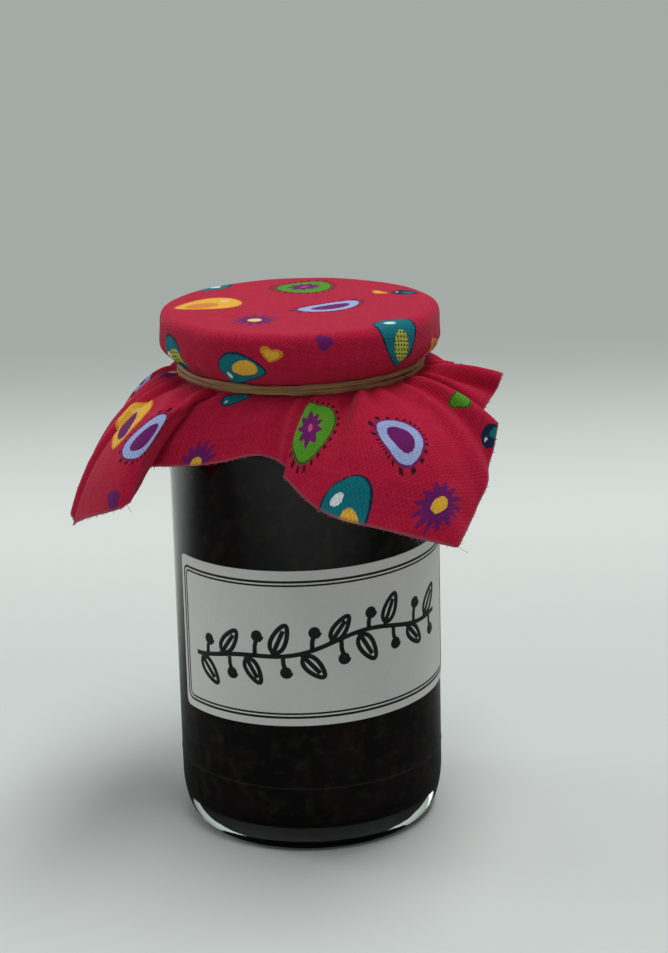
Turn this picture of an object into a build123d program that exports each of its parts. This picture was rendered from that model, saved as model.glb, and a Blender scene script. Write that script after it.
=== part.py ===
from build123d import *
import os
from math import cos, degrees, hypot, radians, sin, sqrt

# A jar of jam with a closed twist-off lid, a paper label, and a square of printed cotton that lies
# over the lid and is tied round the neck with a flat strand of raffia. Millimetres. The jar stands
# on Z = 0 with its axis on Z, and its front faces -Y.

# Glass jar
BODY_RADIUS = 42.0
HEEL_INSET = 5.4            # the ring that the jar stands on is this much inside the wall
FOOT_WIDTH = 4.0
PUSH_UP = 2.5               # rise of the base inside the foot ring
HEEL_HEIGHT = 15.0          # where the heel's curve meets the straight wall
SEAM_HEIGHT = 22.0          # mould line round the wall
SEAM_WIDTH = 1.0
SEAM_RISE = 0.15
SHOULDER_HEIGHT = 127.0
SHOULDER_RISE = 16.0        # from the straight wall up to the neck
MOUTH_HEIGHT = 20.3         # from the shoulder up to the rim
THREAD_RADIUS = 39.4        # the part of the mouth that the lid grips
THREAD_HEIGHT = 7.2
THREAD_DEPTH = 3.2          # the neck is this much inside the thread
WALL = 2.6
BASE_THICKNESS = 5.0
RIM_ROUNDING = 1.2

# Jam
FILL_BELOW_RIM = 4.0
JAM_GAP = 0.1               # keeps the curved faces of jam and glass apart

# Lid
LID_SHEET = 0.8
LID_GRIP = 2.0              # between the mouth's thread and the lid's skirt
LID_SEAL = 1.0              # sealing ring between rim and lid
LID_SKIRT = 9.6
LID_SHOULDER = 3.6

# Tie
TIE_BELOW_LID = 7.5         # from the lid's lower edge down to the middle of the strand
TIE_WIDTH = 3.0
TIE_THICKNESS = 1.2
TIE_GAP = 0.1
TIE_ROUNDING = 0.4
KNOT_SIZE = (4.0, 1.6, 1.4)  # half length along the strand, half depth, half height
KNOT_AZIMUTH = 168.0

# Label
LABEL_WIDTH = 112.0
LABEL_HEIGHT = 49.9
LABEL_MIDDLE = 68.5         # height of its middle above the foot
LABEL_AZIMUTH = 10.0        # stuck on a little to the right of the front
LABEL_SLOPE = 0.022         # and a little crooked: rise for each millimetre along
LABEL_CORNER = 2.0
LABEL_PAPER = 0.2
LABEL_GAP = 0.05
LABEL_COLUMNS = 40

# Cloth cover
CLOTH = 0.8
CLOTH_GAP = 0.2
SKIRT_CREST = (0.55, 0.08)  # where the skirt bends over: shares of its reach and of its drop
SKIRT_ROWS = 6
ARC_ROWS = 4
COLUMN_SPACING = 4.5        # degrees
LEAST_COLUMNS = 3           # in each stretch of the hem

# The cloth's hem: azimuth, how far it stands out from the jar's wall, how far it hangs below the
# tie, and whether it is a corner of the square. Azimuth 0 is the front and 90 the right.
HEM = (
    (-60, 38.5, 39.0, True),     # left front corner
    (-56, 16.0, 33.0, False),    # curls in towards the glass
    (-48, 7.0, 24.5, False),
    (-33, 6.0, 21.5, False),
    (-15, 6.5, 17.5, False),     # highest part of the front
    (-3, 11.0, 24.0, False),
    (12, 16.5, 34.5, False),
    (34, 36.5, 41.4, True),      # right front corner
    (47, 31.5, 25.0, False),
    (57, 27.0, 11.0, False),     # first of two ridges that stand out at the right
    (66, 18.0, 13.5, False),
    (75, 20.5, 4.0, False),      # second ridge
    (100, 16.0, 19.0, False),
    (124, 24.0, 50.0, True),     # right back corner
    (148, 10.0, 24.0, False),
    (178, 12.0, 16.0, False),
    (210, 28.0, 45.0, True),     # left back corner
    (238, 11.0, 21.0, False),
    (270, 16.0, 16.0, False),
    (285, 23.0, 24.0, False),
)

FOOT_RADIUS = BODY_RADIUS - HEEL_INSET
NECK_RADIUS = THREAD_RADIUS - THREAD_DEPTH
NECK_HEIGHT = SHOULDER_HEIGHT + SHOULDER_RISE
RIM_HEIGHT = NECK_HEIGHT + MOUTH_HEIGHT
FILL_HEIGHT = RIM_HEIGHT - FILL_BELOW_RIM
LID_RADIUS = THREAD_RADIUS + LID_GRIP + LID_SHEET
LID_TOP = RIM_HEIGHT + LID_SEAL + LID_SHEET
LID_BOTTOM = LID_TOP - LID_SKIRT
DRUM_RADIUS = LID_RADIUS + CLOTH_GAP + CLOTH
DRUM_ROUNDING = LID_SHOULDER + CLOTH_GAP + CLOTH
DRUM_BOTTOM = LID_BOTTOM - CLOTH_GAP - CLOTH
COVER_TOP = LID_TOP + CLOTH_GAP + CLOTH
COVER_NECK = NECK_RADIUS + CLOTH_GAP + CLOTH
TIE_HEIGHT = LID_BOTTOM - TIE_BELOW_LID
TIE_RADIUS = COVER_NECK + TIE_GAP
TIE_MARGIN = TIE_WIDTH / 2 + TIE_GAP


def turned(*edges):
    """Solid of revolution about Z of a closed outline drawn as (radius, height)."""
    return revolve(Plane.XZ * make_face(edges), axis=Axis.Z)


def heel(foot, wall, bottom, rise):
    """Quarter ellipse from the foot ring up to the straight wall."""
    return EllipticalCenterArc((foot, bottom + rise), wall - foot, rise, start_angle=-90, arc_size=90)


def shoulder(wall, neck):
    """Soft double bend from the straight wall in to the neck."""
    ends = [(wall, SHOULDER_HEIGHT), (neck, NECK_HEIGHT)]
    return Spline(*ends, tangents=[(0, 1), (0, 1)])


def glass_outside():
    """The jar's outer form, as if it were solid glass."""
    foot_inside = FOOT_RADIUS - FOOT_WIDTH
    bead = RIM_HEIGHT - THREAD_HEIGHT
    bead_rise = (THREAD_RADIUS - NECK_RADIUS) / 2
    rim_edge = RIM_HEIGHT - RIM_ROUNDING
    return turned(
        Polyline((0, RIM_HEIGHT), (0, PUSH_UP), (foot_inside - PUSH_UP, PUSH_UP),
                 (foot_inside, 0), (FOOT_RADIUS, 0)),
        heel(FOOT_RADIUS, BODY_RADIUS, 0, HEEL_HEIGHT),
        Polyline((BODY_RADIUS, HEEL_HEIGHT), (BODY_RADIUS, SEAM_HEIGHT - SEAM_WIDTH / 2),
                 (BODY_RADIUS + SEAM_RISE, SEAM_HEIGHT),
                 (BODY_RADIUS, SEAM_HEIGHT + SEAM_WIDTH / 2), (BODY_RADIUS, SHOULDER_HEIGHT)),
        shoulder(BODY_RADIUS, NECK_RADIUS),
        Polyline((NECK_RADIUS, NECK_HEIGHT), (NECK_RADIUS, bead), (THREAD_RADIUS, bead + bead_rise),
                 (THREAD_RADIUS, rim_edge)),
        CenterArc((THREAD_RADIUS - RIM_ROUNDING, rim_edge), RIM_ROUNDING, 0, 90),
        Line((THREAD_RADIUS - RIM_ROUNDING, RIM_HEIGHT), (0, RIM_HEIGHT)),
    )


def filling(gap, top):
    """What the glass holds up to a height, a gap clear of the glass."""
    floor = PUSH_UP + BASE_THICKNESS + gap
    foot = FOOT_RADIUS - WALL
    wall = BODY_RADIUS - WALL - gap
    neck = NECK_RADIUS - WALL - gap
    return turned(
        Polyline((0, top), (0, floor), (foot, floor)),
        heel(foot, wall, floor, HEEL_HEIGHT - BASE_THICKNESS),
        Line((wall, floor + HEEL_HEIGHT - BASE_THICKNESS), (wall, SHOULDER_HEIGHT)),
        shoulder(wall, neck),
        Polyline((neck, NECK_HEIGHT), (neck, top), (0, top)),
    )


def cap(radius, top, bottom, rounding):
    """Solid disc with a rounded upper edge."""
    return turned(
        Polyline((0, top), (0, bottom), (radius, bottom), (radius, top - rounding)),
        CenterArc((radius - rounding, top - rounding), rounding, 0, 90),
        Line((radius - rounding, top), (0, top)),
    )


def lid():
    """Closed cap of thin sheet, open below."""
    inner_radius, inner_top = LID_RADIUS - LID_SHEET, LID_TOP - LID_SHEET
    outside = cap(LID_RADIUS, LID_TOP, LID_BOTTOM, LID_SHOULDER)
    return outside - cap(inner_radius, inner_top, LID_BOTTOM, LID_SHOULDER - LID_SHEET)


def tie():
    """The flat strand round the neck, with its knot at the back."""
    middle = Pos(TIE_RADIUS + TIE_THICKNESS / 2, TIE_HEIGHT)
    section = middle * RectangleRounded(TIE_THICKNESS, TIE_WIDTH, TIE_ROUNDING)
    strand = revolve(Plane.XZ * section, axis=Axis.Z)
    knot = scale(Sphere(1), by=KNOT_SIZE)
    back = Rot(0, 0, KNOT_AZIMUTH) * Pos(0, -TIE_RADIUS - KNOT_SIZE[1], TIE_HEIGHT)
    return strand + back * knot


def place(azimuth, reach, height):
    angle = radians(azimuth)
    return Vector(reach * sin(angle), -reach * cos(angle), height)


def triangle(a, b, c):
    return Face(Wire.make_polygon([a, b, c]))


def strips(rows, closed):
    """Triangles between rows of points, with the last column joined to the first if closed."""
    columns = len(rows[0])
    faces = []
    for upper, lower in zip(rows, rows[1:]):
        for i in range(columns if closed else columns - 1):
            j = (i + 1) % columns
            faces += [triangle(upper[i], lower[i], lower[j]), triangle(upper[i], lower[j], upper[j])]
    return faces


def solid_of(faces):
    body = Solid(Shell(faces))
    return body if body.volume > 0 else Solid(body.wrapped.Reversed())


def label():
    """Paper that follows the glass, as wide as its arc, with clipped corners."""
    straight = LABEL_WIDTH / 2 - LABEL_CORNER
    middle = [straight * (2 * i / LABEL_COLUMNS - 1) for i in range(LABEL_COLUMNS + 1)]
    ends = [straight + LABEL_CORNER * sin(radians(angle)) for angle in (35, 65, 90)]
    stations = [-along for along in reversed(ends)] + middle + ends
    inner_radius = BODY_RADIUS + LABEL_GAP
    corners = {radius: [[], []] for radius in (inner_radius, inner_radius + LABEL_PAPER)}
    for along in stations:
        past = max(0.0, abs(along) - straight)
        half = LABEL_HEIGHT / 2 - LABEL_CORNER + sqrt(max(0.0, LABEL_CORNER**2 - past**2))
        azimuth = LABEL_AZIMUTH + degrees(along / inner_radius)
        middle_height = LABEL_MIDDLE + LABEL_SLOPE * along
        for radius, (top, bottom) in corners.items():
            top.append(place(azimuth, radius, middle_height + half))
            bottom.append(place(azimuth, radius, middle_height - half))
    (inner_top, inner_bottom), (outer_top, outer_bottom) = corners.values()
    loops = [outer_top, outer_bottom, inner_bottom, inner_top, outer_top]
    faces = strips(loops, closed=False)
    for end in (0, -1):
        ring = [loop[end] for loop in loops[:4]]
        faces += [triangle(ring[0], ring[1], ring[2]), triangle(ring[0], ring[2], ring[3])]
    return solid_of(faces)


def smooth(t, before, start, end, after, start_is_corner, end_is_corner):
    """Cubic from start to end at a share t of the way, straight where it meets a corner."""
    straight = end - start
    leave = straight if start_is_corner else (end - before) / 2
    arrive = straight if end_is_corner else (after - start) / 2
    return (
        (2 * t**3 - 3 * t**2 + 1) * start + (t**3 - 2 * t**2 + t) * leave
        + (3 * t**2 - 2 * t**3) * end + (t**3 - t**2) * arrive
    )


def hem_curve():
    """(azimuth, reach, height) all along the hem: smooth between its corners, pointed at each."""
    turned_back = [(HEM[-1][0] - 360, *HEM[-1][1:])]
    turned_on = [(fold[0] + 360, *fold[1:]) for fold in HEM[:2]]
    folds = turned_back + list(HEM) + turned_on
    curve = []
    for before, start, end, after in zip(folds, folds[1:], folds[2:], folds[3:]):
        columns = max(LEAST_COLUMNS, round((end[0] - start[0]) / COLUMN_SPACING))
        for step in range(columns):
            t = step / columns
            out, drop = (smooth(t, before[k], start[k], end[k], after[k], start[3], end[3]) for k in (1, 2))
            curve.append((start[0] + t * (end[0] - start[0]), BODY_RADIUS + out, TIE_HEIGHT - drop))
    return curve


def cover_profile(reach, height):
    """The cloth's outside as (radius, height), from the top's flat down to one point of the hem."""
    middle = (DRUM_RADIUS - DRUM_ROUNDING, COVER_TOP - DRUM_ROUNDING)
    arc = [radians(90 * step / ARC_ROWS) for step in range(ARC_ROWS + 1)]
    line = [(middle[0] + DRUM_ROUNDING * sin(a), middle[1] + DRUM_ROUNDING * cos(a)) for a in arc]
    line += [(DRUM_RADIUS, DRUM_BOTTOM), (COVER_NECK, TIE_HEIGHT + TIE_MARGIN)]
    start = (COVER_NECK, TIE_HEIGHT - TIE_MARGIN)
    out, down = SKIRT_CREST
    crest = (start[0] + out * (reach - start[0]), start[1] + down * (height - start[1]))
    for step in range(SKIRT_ROWS + 1):
        t = step / SKIRT_ROWS
        line.append(tuple(
            (1 - t) ** 2 * a + 2 * t * (1 - t) * b + t**2 * c
            for a, b, c in zip(start, crest, (reach, height))
        ))
    return line


def inner_side(line):
    """The same profile, one thickness of cloth further in."""
    flat_top = (0, COVER_TOP)
    inside = []
    for before, point, after in zip([flat_top] + line, line, line[1:] + line[-1:]):
        along = (0, -1) if point is line[ARC_ROWS] else (after[0] - before[0], after[1] - before[1])
        length = hypot(*along)
        inside.append((point[0] + CLOTH * along[1] / length, point[1] - CLOTH * along[0] / length))
    return inside


def cloth_cover():
    """The tied square, as a thin shell: flat top, drum over the lid, neck, and flaring skirt."""
    outer, inner = [], []
    for azimuth, reach, height in hem_curve():
        profile = cover_profile(reach, height)
        outer.append([place(azimuth, *point) for point in profile])
        inner.append([place(azimuth, *point) for point in inner_side(profile)])
    outer_rows, inner_rows = list(zip(*outer)), list(zip(*inner))
    faces = [Face(Wire.make_polygon(rows[0])) for rows in (outer_rows, inner_rows)]
    faces += strips(outer_rows, closed=True) + strips(inner_rows, closed=True)
    faces += strips([outer_rows[-1], inner_rows[-1]], closed=True)
    return solid_of(faces)


nodes = {
    "glass_jar": glass_outside() - filling(0, RIM_HEIGHT),
    "jam": filling(JAM_GAP, FILL_HEIGHT),
    "lid": lid(),
    "paper_label": label(),
    "cloth_cover": cloth_cover(),
    "raffia_tie": tie(),
}

os.makedirs("parts", exist_ok=True)
for name, solid in nodes.items():
    export_step(solid, f"parts/{name}.step")
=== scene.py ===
from math import atan2, cos, hypot, pi, radians, sin

import bmesh
import bpy
import numpy as np
from mathutils import Matrix, Vector


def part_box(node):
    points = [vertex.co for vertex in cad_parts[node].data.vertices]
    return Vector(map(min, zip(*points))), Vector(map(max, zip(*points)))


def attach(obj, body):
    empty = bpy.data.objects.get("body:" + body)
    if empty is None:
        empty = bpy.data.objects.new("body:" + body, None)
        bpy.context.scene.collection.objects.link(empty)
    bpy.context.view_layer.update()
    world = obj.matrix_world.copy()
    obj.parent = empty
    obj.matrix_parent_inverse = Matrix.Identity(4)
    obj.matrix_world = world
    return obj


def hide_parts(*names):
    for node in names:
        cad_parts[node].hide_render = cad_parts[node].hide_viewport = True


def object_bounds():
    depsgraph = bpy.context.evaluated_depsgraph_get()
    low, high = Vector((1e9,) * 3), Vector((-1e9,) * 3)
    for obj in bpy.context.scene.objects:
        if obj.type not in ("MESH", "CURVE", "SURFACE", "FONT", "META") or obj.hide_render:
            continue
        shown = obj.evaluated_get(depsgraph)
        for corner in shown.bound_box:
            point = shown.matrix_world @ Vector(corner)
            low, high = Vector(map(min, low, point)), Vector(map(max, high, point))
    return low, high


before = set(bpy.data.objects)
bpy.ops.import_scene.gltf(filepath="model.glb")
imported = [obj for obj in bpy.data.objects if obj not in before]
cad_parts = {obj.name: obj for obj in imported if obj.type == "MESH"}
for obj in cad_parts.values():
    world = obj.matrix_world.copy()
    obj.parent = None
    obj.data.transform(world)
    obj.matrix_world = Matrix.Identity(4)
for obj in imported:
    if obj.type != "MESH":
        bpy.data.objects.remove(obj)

cad_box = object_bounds()
scene = bpy.context.scene
scene.view_settings.view_transform = "Standard"
MM = 0.001


# ------------------------------------------------
# Studio: a wide pale table top under a soft sky that is brighter behind the jar than in front,
# one wide lamp overhead and a little to the right, and a tall soft panel behind at the left.

def linear(hex_colour):
    """An sRGB hex colour as linear RGBA."""
    channels = [int(hex_colour[i:i + 2], 16) / 255 for i in (1, 3, 5)]
    return (*(c / 12.92 if c <= 0.04045 else ((c + 0.055) / 1.055) ** 2.4 for c in channels), 1.0)


def add(tree, kind, inputs=(), **settings):
    """Adds a node and fills its inputs: values, hex colours, sockets, or nodes for their first output."""
    node = tree.nodes.new("ShaderNode" + kind)
    for name, value in settings.items():
        setattr(node, name, value)
    for name, value in dict(inputs).items():
        if isinstance(value, bpy.types.Node):
            value = value.outputs[0]
        if isinstance(value, bpy.types.NodeSocket):
            tree.links.new(value, node.inputs[name])
        else:
            node.inputs[name].default_value = linear(value) if isinstance(value, str) else value
    return node


def empty_material(name):
    """A material of that name with no nodes yet, and its node tree."""
    material = bpy.data.materials.new(name)
    material.use_nodes = True
    material.node_tree.nodes.clear()
    return material, material.node_tree


FLOOR_SIZE = 9.0
TABLE = "#dde3e0"
NEAR_SEEN, FAR_SEEN = "#d8deda", "#a4aba6"      # as the camera and the glass see it further back
# painted reflection: the board's tone in front of the jar, as glossy rays alone see it
PAINTED_REFLECTION_DARK = "#3b3d3b"

bpy.ops.object.select_all(action="DESELECT")
bpy.ops.mesh.primitive_plane_add(size=FLOOR_SIZE)
floor = bpy.context.object
floor.name = "table_top"

# Painted board: matt and evenly pale. Towards the back it fades into an even grey backdrop that gives no
# light. In front of the jar, glossy rays see it painted dark, a painted reflection, so that the glass
# mirrors it dark as if a dark card lay there.
painted_board, tree = empty_material("matt_painted_board")
place = add(tree, "TexCoord").outputs["Object"]
backwards = add(tree, "SeparateXYZ", {"Vector": place}).outputs["Y"]
rays = add(tree, "LightPath")
in_front = add(tree, "MapRange", {
    "Value": backwards, "From Min": 0.35, "From Max": 0.0}, interpolation_type="SMOOTHSTEP")
further = add(tree, "MapRange", {
    "Value": backwards, "From Min": -0.18, "From Max": -0.42, "To Min": 1.0, "To Max": 0.5})
# Painted reflection: glossy rays see the board dark in front of the jar, and less dark further forward.
painted_reflection_fade = add(tree, "Math", {0: in_front, 1: further}, operation="MULTIPLY")
painted_reflection_mask = add(tree, "Math", {0: painted_reflection_fade, 1: rays.outputs["Is Glossy Ray"]}, operation="MULTIPLY")
tone = add(tree, "MixRGB", {"Fac": painted_reflection_mask, "Color1": TABLE, "Color2": PAINTED_REFLECTION_DARK})
board = add(tree, "BsdfPrincipled", {"Base Color": tone, "Roughness": 0.9})
depth = add(tree, "MapRange", {
    "Value": backwards, "From Min": 0.28, "From Max": 0.68}, interpolation_type="SMOOTHSTEP")
backdrop = add(tree, "MixRGB", {"Fac": depth, "Color1": NEAR_SEEN, "Color2": FAR_SEEN})
glow = add(tree, "Emission", {"Color": backdrop, "Strength": 1.0})
fading = add(tree, "MapRange", {
    "Value": backwards, "From Min": 0.08, "From Max": 0.32}, interpolation_type="SMOOTHSTEP")
lights_up = add(tree, "Math", {0: 1.0, 1: rays.outputs["Is Diffuse Ray"]}, operation="SUBTRACT")
weight = add(tree, "Math", {0: fading, 1: lights_up}, operation="MULTIPLY")
mixed = add(tree, "MixShader", {0: weight, 1: board, 2: glow})
add(tree, "OutputMaterial", {"Surface": mixed})
painted_board.cycles.emission_sampling = "NONE"
floor.data.materials.append(painted_board)

SKY_LIGHT, SKY_SEEN = "#f4f7f8", "#c3cac6"
SKY_FRONT, SKY_BACK = 0.165, 0.60               # strength in front of the jar and behind it

sky = bpy.data.worlds.new("studio_sky")
scene.world = sky
sky.use_nodes = True
tree = sky.node_tree
tree.nodes.clear()
direction = add(tree, "TexCoord").outputs["Generated"]
backwards = add(tree, "SeparateXYZ", {"Vector": direction}).outputs["Y"]
strength = add(tree, "MapRange", {
    "Value": backwards, "From Min": -0.1, "From Max": 0.95, "To Min": SKY_FRONT, "To Max": SKY_BACK})
light = add(tree, "Background", {"Color": SKY_LIGHT, "Strength": strength})
seen = add(tree, "Background", {"Color": SKY_SEEN, "Strength": 1.0})
rays = add(tree, "LightPath")
either = add(tree, "Math", {
    0: rays.outputs["Is Camera Ray"], 1: rays.outputs["Is Transmission Ray"]}, operation="MAXIMUM")
mixed = add(tree, "MixShader", {0: either, 1: light, 2: seen})
add(tree, "OutputWorld", {"Surface": mixed})


def soft_lamp(name, place, target, size, power):
    """A rectangular soft lamp that faces a target."""
    data = bpy.data.lights.new(name, "AREA")
    data.shape = "RECTANGLE"
    data.size, data.size_y = size
    data.energy = power
    lamp = bpy.data.objects.new(name, data)
    scene.collection.objects.link(lamp)
    lamp.location = place
    lamp.rotation_euler = (Vector(target) - Vector(place)).to_track_quat("-Z", "Y").to_euler()


jar_middle = (0, 0, cad_box[1][2] / 2)
soft_lamp("overhead_lamp", (0.25, -0.08, 1.35), jar_middle, size=(1.2, 0.5), power=11.6)
soft_lamp("left_panel", (-1.1, 0.35, 0.45), jar_middle, size=(0.5, 0.9), power=3)

# The camera stands a little above the lid and looks slightly down, with the jar's axis leaning by
# a degree or so to the left.
CAMERA_PLACE = (0, -0.71577, 0.32145)
CAMERA_LENS = 89.57
LOOKS_DOWN, TURNED, LEANING = 16.45, -0.75, -1.46

camera = bpy.data.objects.new("camera", bpy.data.cameras.new("camera"))
scene.collection.objects.link(camera)
camera.data.lens = CAMERA_LENS
camera.matrix_world = (
    Matrix.Translation(CAMERA_PLACE) @ Matrix.Rotation(radians(TURNED), 4, "Z")
    @ Matrix.Rotation(radians(90 - LOOKS_DOWN), 4, "X") @ Matrix.Rotation(radians(LEANING), 4, "Z")
)
scene.camera = camera


# ------------------------------------------------
# Glass jar: clear soda-lime glass, blown in a two-part mould, with a thick heel and a fine mould
# line low on the wall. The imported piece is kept, and only gets its glass here.

GLASS_TINT = "#f3faf7"
WAVINESS_MM = 16.0      # the wall is thicker and thinner in soft patches of about this size
HANDLING_MM = 30.0      # faint greasy touches on the outside
GLASS_IOR = 1.52

# Soda-lime glass: clear and glossy, with a faint cold tint and soft waves in its reflections.
jar_glass, tree = empty_material("soda_lime_glass_blown")
place = add(tree, "TexCoord").outputs["Object"]
waves = add(tree, "TexNoise", {
    "Vector": place, "Scale": 1 / (WAVINESS_MM * MM), "Detail": 1.0, "Roughness": 0.4})
relief = add(tree, "Bump", {"Height": waves, "Strength": 0.15, "Distance": 0.0004})
touches = add(tree, "TexNoise", {
    "Vector": place, "Scale": 1 / (HANDLING_MM * MM), "Detail": 5.0, "Roughness": 0.65})
gloss = add(tree, "MapRange", {
    "Value": touches, "From Min": 0.45, "From Max": 0.75, "To Min": 0.0, "To Max": 0.04})
shader = add(tree, "BsdfPrincipled", {
    "Base Color": GLASS_TINT, "Roughness": gloss, "Normal": relief, "IOR": GLASS_IOR,
    "Transmission Weight": 1.0})
add(tree, "OutputMaterial", {"Surface": shader})
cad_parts["glass_jar"].material_slots[0].material = jar_glass


# ------------------------------------------------
# Jam: a dark berry jam, set soft, that wets the glass all round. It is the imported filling, let
# out until it reaches just into the glass so that no air shows between the two.

JAM_REACH = 0.4 * MM    # 0.1 to the wall and 0.3 into it


def new_piece(name, data):
    """A new object that is the only selected one, and the active one."""
    bpy.ops.object.select_all(action="DESELECT")
    piece = bpy.data.objects.new(name, data)
    scene.collection.objects.link(piece)
    piece.select_set(True)
    bpy.context.view_layer.objects.active = piece
    return piece


def edit_mesh(operator, **settings):
    """Runs one edit-mode operator on the whole mesh of the active object."""
    bpy.ops.object.mode_set(mode="EDIT")
    bpy.ops.mesh.select_all(action="SELECT")
    operator(**settings)
    bpy.ops.object.mode_set(mode="OBJECT")


def copy_of_node(node, name):
    """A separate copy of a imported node's mesh with its seams merged."""
    piece = new_piece(name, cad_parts[node].data.copy())
    edit_mesh(bpy.ops.mesh.remove_doubles, threshold=0.01 * MM)
    return piece


jam = copy_of_node("jam", "jam_filling")
edit_mesh(bpy.ops.transform.shrink_fatten, value=JAM_REACH)
bpy.ops.object.shade_smooth_by_angle(angle=radians(30))

FRUIT_MM = 11.0         # lumps of cooked fruit against the glass
PULP_MM = 5.0           # the pulp between them, in softer and smaller clouds
JAM_DARK, JAM_FRUIT, JAM_PULP = "#0e0d0d", "#27151a", "#37322a"
JAM_IOR = 1.08

# Berry jam: nearly black in the mass, with brown pulp and dull red fruit where light gets in. It
# wets the glass, so it has next to no shine of its own, which its low IOR stands for.
berry_jam, tree = empty_material("dark_berry_jam")
place = add(tree, "TexCoord").outputs["Object"]
lumps = add(tree, "TexVoronoi", {"Vector": place, "Scale": 1 / (FRUIT_MM * MM)}, feature="SMOOTH_F1")
clouds = add(tree, "TexNoise", {
    "Vector": place, "Scale": 1 / (PULP_MM * MM), "Detail": 3.0, "Roughness": 0.55})
fruit = add(tree, "MapRange", {"Value": lumps, "From Min": 0.15, "From Max": 0.6})
pulp = add(tree, "MapRange", {"Value": clouds, "From Min": 0.48, "From Max": 0.78})
tone = add(tree, "MixRGB", {"Fac": fruit, "Color1": JAM_FRUIT, "Color2": JAM_DARK})
tone = add(tree, "MixRGB", {"Fac": pulp, "Color1": tone, "Color2": JAM_PULP})
shader = add(tree, "BsdfPrincipled", {"Base Color": tone, "Roughness": 0.5, "IOR": JAM_IOR})
add(tree, "OutputMaterial", {"Surface": shader})
jam.data.materials.clear()
jam.data.materials.append(berry_jam)
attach(jam, "root")
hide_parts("jam")


# ------------------------------------------------
# Lid: a pressed tinplate cap, lacquered cream outside, that the cloth hides but for what shows
# from below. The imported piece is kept.

LACQUER, BARE_TIN = "#c9c4b4", "#8f9091"
RUB_MM = 7.0

# Lacquered tinplate: a thin glossy coat that is rubbed through in small spots to grey metal.
tinplate, tree = empty_material("lacquered_tinplate")
place = add(tree, "TexCoord").outputs["Object"]
rubs = add(tree, "TexNoise", {"Vector": place, "Scale": 1 / (RUB_MM * MM), "Detail": 6.0, "Roughness": 0.7})
bare = add(tree, "MapRange", {"Value": rubs, "From Min": 0.66, "From Max": 0.7})
tone = add(tree, "MixRGB", {"Fac": bare, "Color1": LACQUER, "Color2": BARE_TIN})
shader = add(tree, "BsdfPrincipled", {"Base Color": tone, "Roughness": 0.28, "Metallic": bare})
add(tree, "OutputMaterial", {"Surface": shader})
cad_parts["lid"].material_slots[0].material = tinplate


# ------------------------------------------------
# Label: matt white paper, gummed on by hand and so a little crooked, with a printed double border
# of two thin black lines and, in the middle, a twig with leaves and berries drawn in black ink.

LABEL_SLOPE = 0.022     # rise for each millimetre along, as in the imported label
LABEL_CORNER = 2.0
PAPER_DARK, PAPER_PALE = "#d9d9d7", "#e5e4e1"
FIBRE_MM = 0.9
COCKLE_MM = 18.0
INK_DARK, INK_PALE = "#101012", "#262629"
INK_FILM_MM = 2.5
INK_HEIGHT = 0.05       # of the ink above the paper, sunk by half into it
BORDER_SHIFT = -0.35    # the border is printed a little below the paper's middle

# Uncoated paper: matt off-white with faint fibres and a slight cockle from the damp gum.
label_paper, tree = empty_material("uncoated_label_paper")
place = add(tree, "TexCoord").outputs["Object"]
fibres = add(tree, "TexNoise", {
    "Vector": place, "Scale": 1 / (FIBRE_MM * MM), "Detail": 3.0, "Roughness": 0.6})
cockle = add(tree, "TexNoise", {"Vector": place, "Scale": 1 / (COCKLE_MM * MM), "Detail": 2.0})
tone = add(tree, "MixRGB", {"Fac": fibres, "Color1": PAPER_DARK, "Color2": PAPER_PALE})
rough = add(tree, "Bump", {"Height": fibres, "Strength": 0.15, "Distance": 0.0001})
relief = add(tree, "Bump", {"Height": cockle, "Strength": 0.25, "Distance": 0.0006, "Normal": rough})
shader = add(tree, "BsdfPrincipled", {"Base Color": tone, "Roughness": 0.75, "Normal": relief})
add(tree, "OutputMaterial", {"Surface": shader})
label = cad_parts["paper_label"]
label.material_slots[0].material = label_paper

label_points = np.array([v.co for v in label.data.vertices]) / MM
paper_radius = np.hypot(label_points[:, 0], label_points[:, 1]).max()
paper_angles = np.arctan2(label_points[:, 0], -label_points[:, 1])
label_angle = (paper_angles.min() + paper_angles.max()) / 2
label_width = (paper_angles.max() - paper_angles.min()) * paper_radius
label_low, label_high = label_points[:, 2].min(), label_points[:, 2].max()
label_height = label_high - label_low - LABEL_SLOPE * (label_width - 2 * LABEL_CORNER)
label_middle = (label_high + label_low) / 2

# Printing ink and pen ink: black, the pen's a little glossier where it dried in a film.
black_ink, tree = empty_material("black_carbon_ink")
place = add(tree, "TexCoord").outputs["Object"]
film = add(tree, "TexNoise", {"Vector": place, "Scale": 1 / (INK_FILM_MM * MM), "Detail": 3.0})
tone = add(tree, "MixRGB", {"Fac": film, "Color1": INK_DARK, "Color2": INK_PALE})
shader = add(tree, "BsdfPrincipled", {"Base Color": tone, "Roughness": 0.5})
add(tree, "OutputMaterial", {"Surface": shader})


def round_line(name, radius, sides):
    """An empty curve that is drawn as a closed round line."""
    curve = bpy.data.curves.new(name, "CURVE")
    curve.dimensions = "3D"
    curve.bevel_depth = radius
    curve.bevel_resolution = sides
    curve.use_fill_caps = True
    return curve


def mesh_of(curve):
    """Turns a curve into a mesh object of the same name."""
    new_piece(curve.name, curve)
    bpy.ops.object.convert(target="MESH")
    return bpy.context.object


def close_caps():
    """Joins the active mesh's end caps to its sides and turns its normals outwards."""
    edit_mesh(bpy.ops.mesh.remove_doubles, threshold=0.002 * MM)
    edit_mesh(bpy.ops.mesh.normals_make_consistent, inside=False)


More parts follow.
